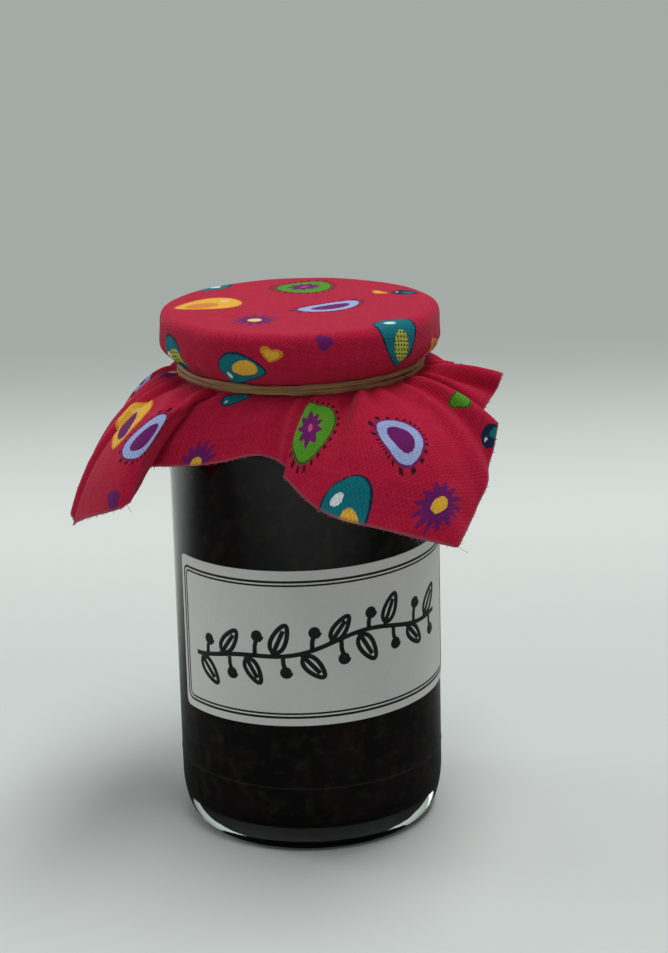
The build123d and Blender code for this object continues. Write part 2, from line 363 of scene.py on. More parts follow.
def ink(name, strokes, width):
    """Strokes on the flat label, as (closed, points in mm from its middle), pressed onto the paper."""
    curve = round_line(name, width / 2, 1)
    for closed, points in strokes:
        spline = curve.splines.new("POLY")
        spline.points.add(len(points) - 1)
        for point, (along, up) in zip(spline.points, points):
            point.co = (along, up, 0, 1)
        spline.use_cyclic_u = closed
    piece = mesh_of(curve)
    for vertex in piece.data.vertices:
        along, up, lift = vertex.co
        angle = label_angle + along / paper_radius
        radius = paper_radius + lift / (width / 2) * INK_HEIGHT
        height = label_middle + up + LABEL_SLOPE * along
        vertex.co = Vector((radius * sin(angle), -radius * cos(angle), height)) * MM
    close_caps()
    bpy.ops.object.shade_smooth()
    piece.data.materials.append(black_ink)
    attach(piece, "root")


def border_line(from_ends, from_sides, corner):
    """A closed outline inside the label's edge, with rounded corners."""
    across, up = label_width / 2 - from_ends, label_height / 2 - from_sides
    corners = [(across, up, 0), (-across, up, 90), (-across, -up, 180), (across, -up, 270)]
    outline = []
    for x, y, start in corners:
        middle = (x - corner * np.sign(x), y - corner * np.sign(y))
        for step in range(7):
            turn = radians(start + 15 * step)
            outline.append((middle[0] + corner * cos(turn), middle[1] + corner * sin(turn) + BORDER_SHIFT))
    line = []
    for (x0, y0), (x1, y1) in zip(outline, outline[1:] + outline[:1]):
        steps = max(1, round(hypot(x1 - x0, y1 - y0) / 1.5))
        line += [(x0 + (x1 - x0) * k / steps, y0 + (y1 - y0) * k / steps) for k in range(steps)]
    return True, line


ink("printed_border_outer", [border_line(from_ends=1.8, from_sides=3.1, corner=2.4)], width=0.78)
ink("printed_border_inner", [border_line(from_ends=3.1, from_sides=4.3, corner=1.8)], width=0.62)


def stem(along):
    """Height of the drawn twig at a place along the label."""
    return 1.2 * sin(along / 6.5) + 2.2 * sin(along / 15 + 0.8) + 0.06 * along


LEAF_STALK = 1.5


def leaf(along, side, length, lean):
    """Outline and vein of a leaf that grows from the twig."""
    start = Vector((along, stem(along)))
    out = Vector((cos(lean), side * sin(lean)))
    across = Vector((-out.y, out.x))
    outline = []
    for step in range(25):
        turn = 2 * pi * step / 24
        reach = length * (1 - cos(turn)) / 2
        width = length * 0.3 * sin(turn) * (1 - 0.45 * reach / length)
        outline.append(tuple(start + out * (LEAF_STALK + reach) + across * width))
    vein = [tuple(start + out * (length * 0.8 + LEAF_STALK) * k / 6) for k in range(7)]
    return [(False, outline), (False, vein)]


def berry(along, side, reach, radius):
    """A short stalk with a round berry at its end, coloured in with a spiral."""
    start = Vector((along, stem(along)))
    middle = start + Vector((0.9, side * reach))
    stalk = [tuple(start), tuple(start + Vector((0.1, side * reach * 0.5))), tuple(middle)]
    turns = [radians(30 * step) for step in range(37)]
    spiral = [(middle.x + radius * t / turns[-1] * cos(t), middle.y + radius * t / turns[-1] * sin(t))
              for t in turns]
    return [(False, stalk), (False, spiral)]


TWIG_START, TWIG_END = -48, 42
LEAF_SPACING = 9
drawing = [(False, [(x / 2, stem(x / 2)) for x in range(2 * TWIG_START, 2 * TWIG_END + 1)])]
for count, along in enumerate(range(TWIG_START + 2, TWIG_END - 6, LEAF_SPACING)):
    side = 1 if count % 2 else -1
    drawing += leaf(along, side, length=9.5 - 0.5 * (count % 3), lean=radians(48 + 6 * (count % 4)))
    drawing += berry(along + 3.5, -side, reach=5.2 + 0.6 * (count % 3), radius=1.5)
ink("pen_drawn_twig", drawing, width=1.45)


# ------------------------------------------------
# Cloth cover: a square of plain-weave printed cotton with raw edges. It lies over the lid, is
# gathered in below it and tied, and its corners stand out stiffly under the tie. A cloth
# simulation settles the gathers on the lid, neck and shoulder.

CLOTH_HALF = 88.5       # half the side of the square, in millimetres like all that follows
CLOTH_THICK = 0.35
CELLS = 108             # the square is woven into this many cells each way
CORNER_TURN = -58.0     # direction in which the square's left front corner points
CLOTH_CLEAR = 0.45      # between the lid and the middle of the cloth
DRUM_EDGE = 2.6         # rounding of the cloth over the lid's edge
TIE_HALF = 1.6
NEAR_HEM, FAR_HEM = 48, 76      # between these distances the skirt's arc grows flatter

# The hem, side by side from the left front corner: millimetres along the side, azimuth, distance
# from the jar's axis, and height. Each side starts at a corner of the square.
HEM_SIDES = (
    ((0, -66, 77.5, 106.5), (12, -58, 76.5, 111.6), (24, -50, 75.5, 115.6), (32, -46, 73, 118),
     (40, -48, 67.3, 119.5), (47, -51, 62.5, 121.5), (54, -54, 58.5, 124), (60, -53, 56, 124.8),
     (68, -45, 54, 126), (82, -31, 50, 128), (93, -17, 48.5, 131), (103, -7.5, 50, 129.5),
     (113, -4.5, 56, 127.5), (121, -3.5, 60, 125.5), (140, 6.3, 64, 117.3), (158, 20, 69.5, 112.6)),
    ((0, 33.5, 79.3, 106.9), (17, 43.7, 74, 117.4), (31, 50.5, 71.5, 127.3), (43, 56.5, 69, 136.9),
     (62, 64.5, 57, 131), (85, 76, 62.5, 143), (105, 88, 58, 138), (122, 100, 54, 131),
     (140, 107, 57, 121), (160, 117, 62, 107)),
    ((0, 124, 66, 98), (20, 134, 58, 108), (40, 142, 51, 118), (60, 153, 54, 128), (80, 164, 50, 127),
     (100, 176, 54, 131), (120, 188, 50, 127), (140, 197, 55, 120), (160, 203, 62, 111)),
    ((0, 210, 69, 102), (20, 218, 60, 112), (40, 226, 52, 120), (60, 237, 55, 130), (80, 246, 50, 128),
     (100, 256, 56, 131), (120, 264, 57, 126), (138, 274, 66, 118), (152, 282, 70.5, 112.5),
     (166, 291, 76, 109.5)),
)

# Where each direction in the square ends up at the tie: nearly straight down in front, and
# bunched together at the left and at the right of the front.
GATHERED = ((-58, -63), (-33, -36), (-23, -27), (-4, 0), (7, 11), (17, 23), (32, 41), (49, 57), (66, 66),
            (77, 77), (122, 122), (167, 168), (212, 212), (257, 258), (302, 297))

lid_low, lid_high = (np.array(corner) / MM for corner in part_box("lid"))
tie_low, tie_high = (np.array(corner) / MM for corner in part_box("raffia_tie"))
drum_radius = lid_high[0] + CLOTH_CLEAR
drum_top = lid_high[2] + CLOTH_CLEAR
drum_bottom = lid_low[2] - 0.1
tie_height = (tie_low[2] + tie_high[2]) / 2
neck_radius = tie_high[0] - 1.5

side_length = 2 * CLOTH_HALF
stations, hem_points, at_corner = [], [], []
for number, side in enumerate(HEM_SIDES):
    for along, azimuth, reach, height in side:
        stations.append(number * side_length + along)
        angle = radians(azimuth)
        hem_points.append((reach * sin(angle), -reach * cos(angle), height))
        at_corner.append(along == 0)
stations, hem_points, at_corner = np.array(stations), np.array(hem_points), np.array(at_corner)


def hem(along):
    """Points of the hem, smooth between the square's corners and straight into each."""
    count, round_trip = len(stations), 4 * side_length
    along = along % round_trip
    start = np.searchsorted(stations, along, side="right") - 1
    end = (start + 1) % count
    span = np.where(end == 0, round_trip, stations[end]) - stations[start]

    def slope(index):
        before, after = (index - 1) % count, (index + 1) % count
        low = np.where(before > index, stations[before] - round_trip, stations[before])
        high = np.where(after < index, stations[after] + round_trip, stations[after])
        return (hem_points[after] - hem_points[before]) / (high - low)[:, None]

    straight = (hem_points[end] - hem_points[start]) / span[:, None]
    leave = np.where(at_corner[start][:, None], straight, slope(start))
    arrive = np.where(at_corner[end][:, None], straight, slope(end))
    t, span = ((along - stations[start]) / span)[:, None], span[:, None]
    return ((2 * t**3 - 3 * t**2 + 1) * hem_points[start] + (t**3 - 2 * t**2 + t) * leave * span
            + (3 * t**2 - 2 * t**3) * hem_points[end] + (t**3 - t**2) * arrive * span)


# The flat square, as seen from above.
lines = np.linspace(-CLOTH_HALF, CLOTH_HALF, CELLS + 1)
flat_x, flat_y = (grid.ravel() for grid in np.meshgrid(lines, lines))
distance = np.hypot(flat_x, flat_y)
larger = np.maximum(np.maximum(np.abs(flat_x), np.abs(flat_y)), 1e-9)
to_hem = np.where(distance < 1e-6, CLOTH_HALF, CLOTH_HALF * distance / larger)
edge_x, edge_y = flat_x / larger * CLOTH_HALF, flat_y / larger * CLOTH_HALF
limit = CLOTH_HALF - 1e-6
front = (edge_y <= -limit) & (edge_x < limit)
right = (edge_x >= limit) & (edge_y < limit)
back = (edge_y >= limit) & (edge_x > -limit)
along_hem = np.select([front, right, back],
                      [edge_x + CLOTH_HALF, edge_y + CLOTH_HALF + side_length,
                       CLOTH_HALF - edge_x + 2 * side_length],
                      CLOTH_HALF - edge_y + 3 * side_length)
bearing = np.degrees(np.arctan2(flat_x, -flat_y)) + CORNER_TURN + 45
bearing = (bearing - CORNER_TURN) % 360 + CORNER_TURN
gathered = np.interp(bearing, *zip(*GATHERED))

# Distances from the middle of the square at which the cloth bends over the edge, turns in under
# the lid, meets the tie and leaves it.
flat_end = drum_radius - DRUM_EDGE
edge_end = flat_end + DRUM_EDGE * pi / 2
side_end = edge_end + drum_top - DRUM_EDGE - drum_bottom
tie_top = tie_height + TIE_HALF
under = hypot(drum_radius - neck_radius, drum_bottom - tie_top)
tie_start = side_end + under
tie_end = tie_start + 2 * TIE_HALF
bend = np.clip((distance - flat_end) / DRUM_EDGE, 0, pi / 2)
radius = np.interp(distance, [0, flat_end], [0, flat_end]) + DRUM_EDGE * np.sin(bend)
height = drum_top - DRUM_EDGE + DRUM_EDGE * np.cos(bend) - np.clip(distance - edge_end, 0, None)
inward = np.clip((distance - side_end) / under, 0, 1)
radius = radius + inward * (neck_radius - drum_radius)
height = np.where(distance > side_end, drum_bottom + inward * (tie_top - drum_bottom), height)
height = np.where(distance > tie_start, tie_top - (distance - tie_start), height)
tightness = np.clip((distance / np.maximum(radius, 1e-9) - 1) / (tie_start / neck_radius - 1), 0, 1)
azimuth = np.radians(bearing + (gathered - bearing) * tightness)
shape = np.stack([radius * np.sin(azimuth), -radius * np.cos(azimuth), height], axis=1)

# Below the tie the cloth runs out in an arc from the tie to the hem, flatter towards the corners.
skirt = distance > tie_end
hem_end = hem(along_hem[skirt])
at_tie = np.radians(gathered[skirt])
hem_start = np.stack([neck_radius * np.sin(at_tie), -neck_radius * np.cos(at_tie),
                      np.full(skirt.sum(), tie_height - TIE_HALF)], axis=1)
share = ((distance[skirt] - tie_end) / (to_hem[skirt] - tie_end))[:, None]
hem_reach = np.hypot(hem_end[:, 0], hem_end[:, 1])
stands_out = np.clip((hem_reach - NEAR_HEM) / (FAR_HEM - NEAR_HEM), 0, 1)[:, None]
crest = hem_start + (hem_end - hem_start) * np.hstack(
    [0.5 + 0.22 * stands_out] * 2 + [0.12 - 0.07 * stands_out])
shape[skirt] = (1 - share) ** 2 * hem_start + 2 * share * (1 - share) * crest + share**2 * hem_end

# What the gathering squeezes goes into pleats, of a depth that keeps the cloth's length.
PLEAT = 9.5             # degrees of the square for each pleat
DEEPEST_PLEAT = 3.0
BUNCHES, BUNCH_WIDTH = (74, 287), 18            # directions in the square with the deepest gathers
SMOOTH_AT, SMOOTH_WIDTH = -28, 45               # direction in which the skirt hangs nearly smooth
grid = shape.reshape(CELLS + 1, CELLS + 1, 3)
step = lines[1] - lines[0]
by_x, by_y = (np.gradient(grid, axis=axis).reshape(-1, 3) / step for axis in (1, 0))
normal = np.cross(by_x, by_y)
normal /= np.maximum(np.linalg.norm(normal, axis=1), 1e-9)[:, None]
outward = np.stack([np.sin(azimuth), -np.cos(azimuth), np.full_like(azimuth, 0.6)], axis=1)
normal *= np.sign((normal * outward).sum(axis=1))[:, None]
safe = np.maximum(distance, 1e-6)
round_about = by_x * (-flat_y / safe)[:, None] + by_y * (flat_x / safe)[:, None]
squeeze = np.clip(1 / np.maximum(np.linalg.norm(round_about, axis=1), 0.25), 1, 3)
turn = np.radians(bearing)
wander = 0.5 * np.sin(3 * turn + 1) + 0.35 * np.sin(7 * turn + 2) + 0.2 * np.sin(16 * turn)
phase = 2 * pi * (bearing / PLEAT + wander)
flat_wave = distance * radians(PLEAT)
depth = np.sqrt(np.maximum(flat_wave**2 - (flat_wave / squeeze) ** 2, 0)) / 4
held_by_tie = np.clip(np.abs(distance - (tie_start + tie_end) / 2) - TIE_HALF, 0, 6) / 6
bunched = sum(np.exp(-((bearing - middle) / BUNCH_WIDTH) ** 2) for middle in BUNCHES)
above_tie = np.clip((distance - flat_end) / (tie_start - flat_end), 0, 1) ** 1.5 * (0.4 + 0.3 * bunched)
smooth_front = 1 - 0.85 * np.exp(-(((bearing - SMOOTH_AT + 180) % 360 - 180) / SMOOTH_WIDTH) ** 2)
uneven = 0.85 + 0.25 * np.sin(5 * turn + 0.6) + 0.2 * np.sin(13 * turn + 2.2)
depth *= uneven * np.clip(held_by_tie, 0.12, 1) * np.where(distance < tie_start, above_tie, smooth_front)
depth = np.where(distance < flat_end, 0, np.minimum(depth, DEEPEST_PLEAT))
shape += normal * (depth * (np.sin(phase) + (0.3 + 0.3 * bunched) * (distance < tie_start)))[:, None]

# Over the lid's side the cloth is not quite taut, and bulges a little here and there.
over_side = np.clip((distance - flat_end) / 4, 0, 1) * np.clip((tie_start - distance) / 16, 0, 1)
bulge = 0.45 + 0.25 * np.sin(5 * turn + 0.22 * height) + 0.2 * np.sin(11 * turn - 0.3 * height + 1)
shape += normal * (over_side * bulge)[:, None]

# Single folds below the tie: direction in the square, half width in degrees, rise or fall in mm,
# and the distance that each runs out to.
FOLDS = ((17, 2.6, -2.6, 26), (22, 3.0, 1.5, 30), (-41, 2.4, 1.2, 16), (-35, 2.2, -1.4, 16),
         (-29, 2.6, 1.2, 16), (58, 3.0, -2.4, 30), (49, 3.0, 1.6, 34))
past_tie = np.clip(distance - tie_end, 0, None)
for middle, half_width, rise, run in FOLDS:
    across = (bearing - middle + 180) % 360 - 180
    runs_out = np.clip(past_tie / 5, 0, 1) * np.exp(-(past_tie / run) ** 2)
    shape += normal * (rise * np.exp(-(across / half_width) ** 2) * runs_out)[:, None]
shape += np.random.default_rng(4).normal(0, 0.03, shape.shape) * (distance > flat_end)[:, None]

# The solver's constants suit large cloths, so the square is settled at ten times its size.
SCALE = 10
FRAMES = 16


def settle(start):
    """Lets the cloth relax from its start shape over the jar, and returns its mesh object."""
    flat = np.stack([flat_x, flat_y, np.zeros_like(flat_x)], axis=1)
    numbers = np.arange((CELLS + 1) ** 2).reshape(CELLS + 1, CELLS + 1)
    cells = np.stack([numbers[:-1, :-1], numbers[:-1, 1:], numbers[1:, 1:], numbers[1:, :-1]], axis=-1)
    mesh = bpy.data.meshes.new("cloth_cover")
    mesh.from_pydata((flat * MM * SCALE).tolist(), [], cells.reshape(-1, 4).tolist())
    layer = mesh.uv_layers.new(name="flat")
    corners = np.empty(len(mesh.loops), dtype=np.int32)
    mesh.loops.foreach_get("vertex_index", corners)
    layer.uv.foreach_set("vector", (flat[corners, :2] / side_length + 0.5).ravel())
    piece = bpy.data.objects.new("printed_cotton_cover", mesh)
    scene.collection.objects.link(piece)
    rest = piece.shape_key_add(name="flat")
    draped = piece.shape_key_add(name="draped")
    draped.data.foreach_set("co", (start * MM * SCALE).ravel())
    draped.value = 1

    at_edge = np.maximum(np.abs(flat_x), np.abs(flat_y)) > limit
    near_corner = at_edge & (np.minimum(np.abs(flat_x), np.abs(flat_y)) > CLOTH_HALF - 2)
    hold = np.select([near_corner, at_edge, distance < side_end - 2, distance <= tie_end + 1],
                     [0.8, 0.4, 1.0, 0.9], 0.1)
    group = piece.vertex_groups.new(name="held")
    for weight in np.unique(hold):
        group.add(np.nonzero(hold == weight)[0].tolist(), float(weight), "REPLACE")
    form = copy_of_node("glass_jar", "form_for_the_cloth")
    form.data.transform(Matrix.Scale(SCALE, 4))
    form.modifiers.new("solid", "COLLISION")
    form.collision.thickness_outer = 0.4 * MM * SCALE
    form.collision.cloth_friction = 5
    cloth = piece.modifiers.new("cotton", "CLOTH")
    for name, value in dict(
            quality=7, mass=0.3, tension_stiffness=15, compression_stiffness=15, shear_stiffness=5,
            bending_stiffness=0.5, air_damping=3, vertex_group_mass="held", pin_stiffness=1,
            rest_shape_key=rest).items():
        setattr(cloth.settings, name, value)
    cloth.settings.effector_weights.gravity = 0.05
    cloth.collision_settings.distance_min = 0.6 * MM * SCALE
    cloth.collision_settings.collision_quality = 3
    cloth.point_cache.frame_start = 1
    cloth.point_cache.frame_end = FRAMES
    for number in range(1, FRAMES + 1):
        scene.frame_set(number)
    bpy.context.view_layer.update()
    bpy.ops.object.select_all(action="DESELECT")
    piece.select_set(True)
    bpy.context.view_layer.objects.active = piece
    bpy.ops.object.convert(target="MESH")
    bpy.data.objects.remove(form)
    piece.vertex_groups.clear()
    piece.data.transform(Matrix.Scale(1 / SCALE, 4))
    return piece


cover = settle(shape)
smoothing = cover.modifiers.new("smoothing", "SUBSURF")
smoothing.levels = smoothing.render_levels = 1
smoothing.uv_smooth = "NONE"
bpy.ops.object.modifier_apply(modifier="smoothing")
draped_faces = len(cover.data.polygons)

# The raw edge, as it is before the cloth gets its thickness: the middle of each edge cell, the
# direction out of the cloth there, and the direction along the hem.
raw_edge = []
open_mesh = bmesh.new()
open_mesh.from_mesh(cover.data)
for edge in open_mesh.edges:
    if edge.is_boundary:
        middle = (edge.verts[0].co + edge.verts[1].co) / 2
        along = (edge.verts[1].co - edge.verts[0].co).normalized()
        out = middle - edge.link_faces[0].calc_center_median()
        out = (out - along * out.dot(along)).normalized()
        raw_edge.append((middle / MM, out, along, edge.link_faces[0].normal.copy()))
open_mesh.free()

body = cover.modifiers.new("thickness", "SOLIDIFY")
body.thickness = CLOTH_THICK * MM
body.offset = 0
bpy.ops.object.modifier_apply(modifier="thickness")
bpy.ops.object.shade_smooth()

# The print: beans, seed pods, daisies and hearts scattered over the red ground. Each is placed by
# its middle on the flat square, the direction of its head in degrees, and its half length, and has
# a colour for its outer part, the shape inside it, and the core or spot.
GREEN, BLUE, TEAL, YELLOW, ORANGE = "#559a25", "#a3b4e4", "#0a7480", "#efb93c", "#e08a3c"
PURPLE, LIME, PINK, CREAM, WHITE = "#6f1c66", "#bfc544", "#cc5288", "#f6cf8c", "#e6eef2"
NAVY, BLACKISH = "#152944", "#3a1020"
RIMS = {TEAL: NAVY, GREEN: "#2f5a1c", BLUE: PURPLE, YELLOW: "#d98a2c"}
HALF_PRINT = (
    ("pod", -28.5, -3, 38, 11, YELLOW, ORANGE, CREAM),
    ("star_bean", -4, 25.5, 40, 9.4, GREEN, PURPLE, PINK),
    ("bean", 10.2, -2, 44, 11.4, BLUE, PURPLE, PURPLE),
    ("heart", 21, 19.5, 54, 2.7, YELLOW, YELLOW, YELLOW),
    ("pod", 29.5, 20, 160, 4.5, NAVY, TEAL, WHITE),
    ("daisy", -8.5, -23, 0, 7.6, PURPLE, CREAM, CREAM),
    ("pod", -39.5, -35, 115, 9, TEAL, LIME, WHITE),
    ("heart", 1, -47.2, 78, 3, YELLOW, YELLOW, YELLOW),
    ("pod", -10, -52, 178, 9.4, TEAL, YELLOW, WHITE),
    ("pod", -11.5, -66.5, 200, 5, TEAL, TEAL, WHITE),
    ("spot", 16.5, -40.5, 0, 2.8, PURPLE, PURPLE, PURPLE),
    ("pod", 37.5, -26.5, 128, 10.4, TEAL, LIME, WHITE),
    ("pod", 55, -4.5, 40, 7.5, ORANGE, YELLOW, PURPLE),
    ("pod", -61.5, -64, 72, 10.5, YELLOW, PURPLE, CREAM),
    ("bean", -50.5, -72, 33, 9.8, BLUE, PURPLE, PURPLE),
    ("daisy", -13.5, -88.5, 0, 6.8, PURPLE, YELLOW, YELLOW),
    ("star_bean", 28.5, -73.6, 137, 10.4, GREEN, PURPLE, PINK),
    ("bean", 59.5, -68, 148, 9.8, BLUE, PURPLE, PURPLE),
    ("pod", 56.5, -89.6, 124, 10.6, TEAL, YELLOW, WHITE),
    ("daisy", 78.6, -81.2, 0, 6.7, PURPLE, YELLOW, YELLOW),
    ("spot", -62, -86.5, 0, 3, PURPLE, PURPLE, PURPLE),
    ("pod", 87, -51, 200, 4.5, NAVY, TEAL, WHITE),
    ("spot", 73, -42, 60, 4.2, GREEN, GREEN, GREEN),
    ("heart", -76, -40, 100, 3.2, YELLOW, YELLOW, YELLOW),
    ("daisy", -60, -27, 0, 6.8, PURPLE, CREAM, CREAM),
    ("bean", -78, -10, 80, 9.6, BLUE, PURPLE, PURPLE),
)
TICKS_ROUND_A_BEAN = 24
MOTIF_SPACING = 17
COPIED_BELOW = -9       # motifs in front of the square's middle by this much are copied to its back

# The back of the square has the same print, half a turn round, wherever there is room for it.
print_motifs = list(HALF_PRINT)
for kind, x, y, head, *rest in HALF_PRINT:
    clear = all(hypot(x + other[1], y + other[2]) > MOTIF_SPACING for other in print_motifs)
    if y < COPIED_BELOW and clear:
        print_motifs.append((kind, -x, -y, head + 180, *rest))


def motif_distances(kind, across, up, size):
    """Distances in mm to a motif's outline, to the shape inside it, and to its core or spot."""
    reach = np.hypot(across, up)
    angle = np.arctan2(up, across)
    if kind == "bean":
        bent = across - 0.08 * size + 0.22 * up**2 / size
        return (0.75 * (np.hypot(bent / 0.48, up) - size), 0.7 * (np.hypot(bent / 0.4, up) - 0.6 * size),
                reach - 0.1 * size)
    if kind == "star_bean":
        bent = across - 0.12 * size + 0.25 * up**2 / size
        star = size * (0.52 + 0.12 * np.sin(9 * angle))
        return (0.85 * (np.hypot(bent / 0.88, up) - size), 0.7 * (np.hypot(across / 0.8, up) - star),
                np.hypot(across / 0.6, up) - 0.16 * size)
    if kind == "pod":
        share = np.clip(up / size, -1, 1)
        half_width = 0.68 * size * (1 + 0.45 * share) * np.sqrt(1 - share**2)
        outline = np.maximum(0.8 * (np.abs(across) - half_width), np.abs(up) - size)
        oval = 0.6 * (np.hypot((across - 0.1 * size) / 0.6, up + 0.2 * size) - 0.5 * size)
        return outline, oval, np.hypot((across + 0.15 * size) / 1.4, up - 0.6 * size) - 0.13 * size
    if kind == "daisy":
        return reach - size * (0.75 + 0.25 * np.cos(13 * angle)), reach - 0.29 * size, reach - 0.1 * size
    if kind == "heart":
        lobed = 1.25 * up + 0.2 * size - 0.62 * np.sqrt(np.abs(across) * size)
        outline = 0.8 * (np.hypot(across / 1.5, lobed) - 0.8 * size)
        return outline, outline + size, outline + size
    outline = reach - size * (0.85 + 0.15 * np.cos(3 * angle))
    return outline, outline + size, outline + size


def write_print(piece):
    """Stores on every corner of the cloth's faces what is printed there, and if it faces inwards."""
    mesh = piece.data
    flat = np.empty(len(mesh.loops) * 2, dtype=np.float32)
    mesh.uv_layers["flat"].uv.foreach_get("vector", flat)
    flat = (flat.reshape(-1, 2) - 0.5) * side_length
    corners_of_face = np.empty(len(mesh.polygons), dtype=np.int32)
    mesh.polygons.foreach_get("loop_total", corners_of_face)
    face_of_corner = np.repeat(np.arange(len(corners_of_face)), corners_of_face)
    first_corner = np.concatenate([[0], np.cumsum(corners_of_face)[:-1]])
    face_middle = np.add.reduceat(flat, first_corner, axis=0) / corners_of_face[:, None]

    places = np.array([motif[1:3] for motif in print_motifs])
    sizes = np.array([motif[4] for motif in print_motifs])
    away = np.linalg.norm(face_middle[:, None, :] - places[None], axis=2) - sizes
    nearest = away.argmin(axis=1)[face_of_corner]
    distances = np.full((len(flat), 3), 9.0, dtype=np.float32)
    round_bean = np.zeros(len(flat), dtype=np.float32)
    colours = {name: np.zeros((len(flat), 4), dtype=np.float32)
               for name in ("print_rim", "print_outer", "print_inner", "print_core")}
    for number, (kind, x, y, head, size, outer, inner, core) in enumerate(print_motifs):
        here = nearest == number
        ahead = np.array([cos(radians(head)), sin(radians(head))])
        offset = flat[here] - (x, y)
        up, across = offset @ ahead, offset @ np.array([ahead[1], -ahead[0]])
        distances[here] = np.stack(motif_distances(kind, across, up, size), axis=1)
        if kind.endswith("bean"):
            from_middle = face_middle[face_of_corner[here]] - (x, y)
            face_turn = np.arctan2(from_middle[:, 1], from_middle[:, 0])
            corner_turn = np.arctan2(offset[:, 1], offset[:, 0])
            round_bean[here] = face_turn + (corner_turn - face_turn + pi) % (2 * pi) - pi
        for name, colour in zip(colours, (RIMS.get(outer, outer), outer, inner, core)):
            colours[name][here] = linear(colour)
        colours["print_inner"][here, 3] = inner == LIME
    inwards = (np.arange(len(corners_of_face)) >= draped_faces)[face_of_corner].astype(np.float32)
    stored = {"print_distances": ("FLOAT_VECTOR", "vector", distances),
              "print_round": ("FLOAT", "value", round_bean), "wrong_side": ("FLOAT", "value", inwards)}
    stored |= {name: ("FLOAT_COLOR", "color", colour) for name, colour in colours.items()}
    for name, (kind, field, values) in stored.items():
        mesh.attributes.new(name, kind, "CORNER").data.foreach_set(field, values.ravel())


write_print(cover)

# Plain-weave cotton, reactive printed: matt, with a soft nap, paler slubs along both threads,
# print that is a little uneven at its edges and shows through weakly on the wrong side. The real
# threads are 0.35 mm apart, too fine to show, so they are drawn at twice that.
THREAD_MM = 0.7
SLUB_LONG_MM, SLUB_WIDE_MM = 9.0, 0.9
RED, RED_FADED, RAW_EDGE = "#b91239", "#bf2c4a", "#c8707f"
DOT_MM = 1.9

cotton, tree = empty_material("printed_plain_weave_cotton")
flat_map = add(tree, "UVMap", uv_map="flat")
in_mm = add(tree, "VectorMath", {0: flat_map, 1: (side_length,) * 3}, operation="MULTIPLY")


def crossed_waves(spacing):
    """Waves along both sides of the square, multiplied: bumps that repeat after so many mm."""
    scaled = add(tree, "VectorMath", {0: in_mm, 1: (2 * pi / spacing,) * 3}, operation="MULTIPLY")
    waves = add(tree, "VectorMath", {0: scaled}, operation="SINE")
    sides = add(tree, "SeparateXYZ", {"Vector": waves})
    return add(tree, "Math", {0: sides.outputs["X"], 1: sides.outputs["Y"]}, operation="MULTIPLY")


weave = crossed_waves(2 * THREAD_MM)
slubs = []
for spacing in ((SLUB_LONG_MM, SLUB_WIDE_MM), (SLUB_WIDE_MM, SLUB_LONG_MM)):
    stretched = add(tree, "Mapping", {"Vector": in_mm, "Scale": (1 / spacing[0], 1 / spacing[1], 1)})
    slubs.append(add(tree, "TexNoise", {
        "Vector": stretched, "Scale": 1.0, "Detail": 2.0, "Roughness": 0.6}))
slub = add(tree, "Math", {0: slubs[0], 1: slubs[1]}, operation="MAXIMUM")
grain = add(tree, "TexNoise", {"Vector": in_mm, "Scale": 1 / THREAD_MM, "Detail": 2.0, "Roughness": 0.7})
faded = add(tree, "MapRange", {"Value": slub, "From Min": 0.5, "From Max": 0.9})
ground = add(tree, "MixRGB", {"Fac": faded, "Color1": RED, "Color2": RED_FADED})

# The distances to the print's outlines are shifted by a fine noise, so that no edge is drawn sharp.
blotches = add(tree, "TexNoise", {"Vector": in_mm, "Scale": 0.9, "Detail": 3.0})
shift = add(tree, "MapRange", {"Value": blotches, "To Min": -0.35, "To Max": 0.35})
stored = add(tree, "Attribute", attribute_name="print_distances")
shifted = add(tree, "VectorMath", {0: stored.outputs["Vector"], 1: shift}, operation="ADD")
to = add(tree, "SeparateXYZ", {"Vector": shifted})

# Short dark ticks stand round each bean.
around = add(tree, "Attribute", attribute_name="print_round")
turns = add(tree, "Math", {0: around.outputs["Fac"], 1: float(TICKS_ROUND_A_BEAN)}, operation="MULTIPLY")
wave = add(tree, "Math", {0: turns}, operation="SINE")
tick = add(tree, "Math", {0: wave, 1: 0.3}, operation="GREATER_THAN")
tick_starts = add(tree, "Math", {0: to.outputs["X"], 1: 0.2}, operation="GREATER_THAN")
tick_ends = add(tree, "Math", {0: to.outputs["X"], 1: 1.5}, operation="LESS_THAN")
tick_band = add(tree, "Math", {0: tick_starts, 1: tick_ends}, operation="MULTIPLY")
tick_mark = add(tree, "Math", {0: tick_band, 1: tick}, operation="MULTIPLY")
tone = add(tree, "MixRGB", {"Fac": tick_mark, "Color1": ground, "Color2": BLACKISH})

# Then come the dark rim, the motif's own colour, the shape inside it and its core, one on another.
EDGE_BLUR = 0.12
for name, field, inset in (("print_rim", "X", 0.0), ("print_outer", "X", 0.6), ("print_inner", "Y", 0.0),
                           ("print_core", "Z", 0.0)):
    inside = add(tree, "MapRange", {
        "Value": to.outputs[field], "From Min": EDGE_BLUR - inset, "From Max": -EDGE_BLUR - inset})
    colour = add(tree, "Attribute", attribute_name=name)
    tone = add(tree, "MixRGB", {"Fac": inside, "Color1": tone, "Color2": colour})
    if name == "print_inner":
        # Some of these inner shapes are dotted.
        dot = add(tree, "Math", {0: crossed_waves(DOT_MM), 1: 0.4}, operation="GREATER_THAN")
        dotted = add(tree, "Math", {0: dot, 1: colour.outputs["Alpha"]}, operation="MULTIPLY")
        dot_mark = add(tree, "Math", {0: dotted, 1: inside}, operation="MULTIPLY")
        tone = add(tree, "MixRGB", {"Fac": dot_mark, "Color1": tone, "Color2": NAVY})

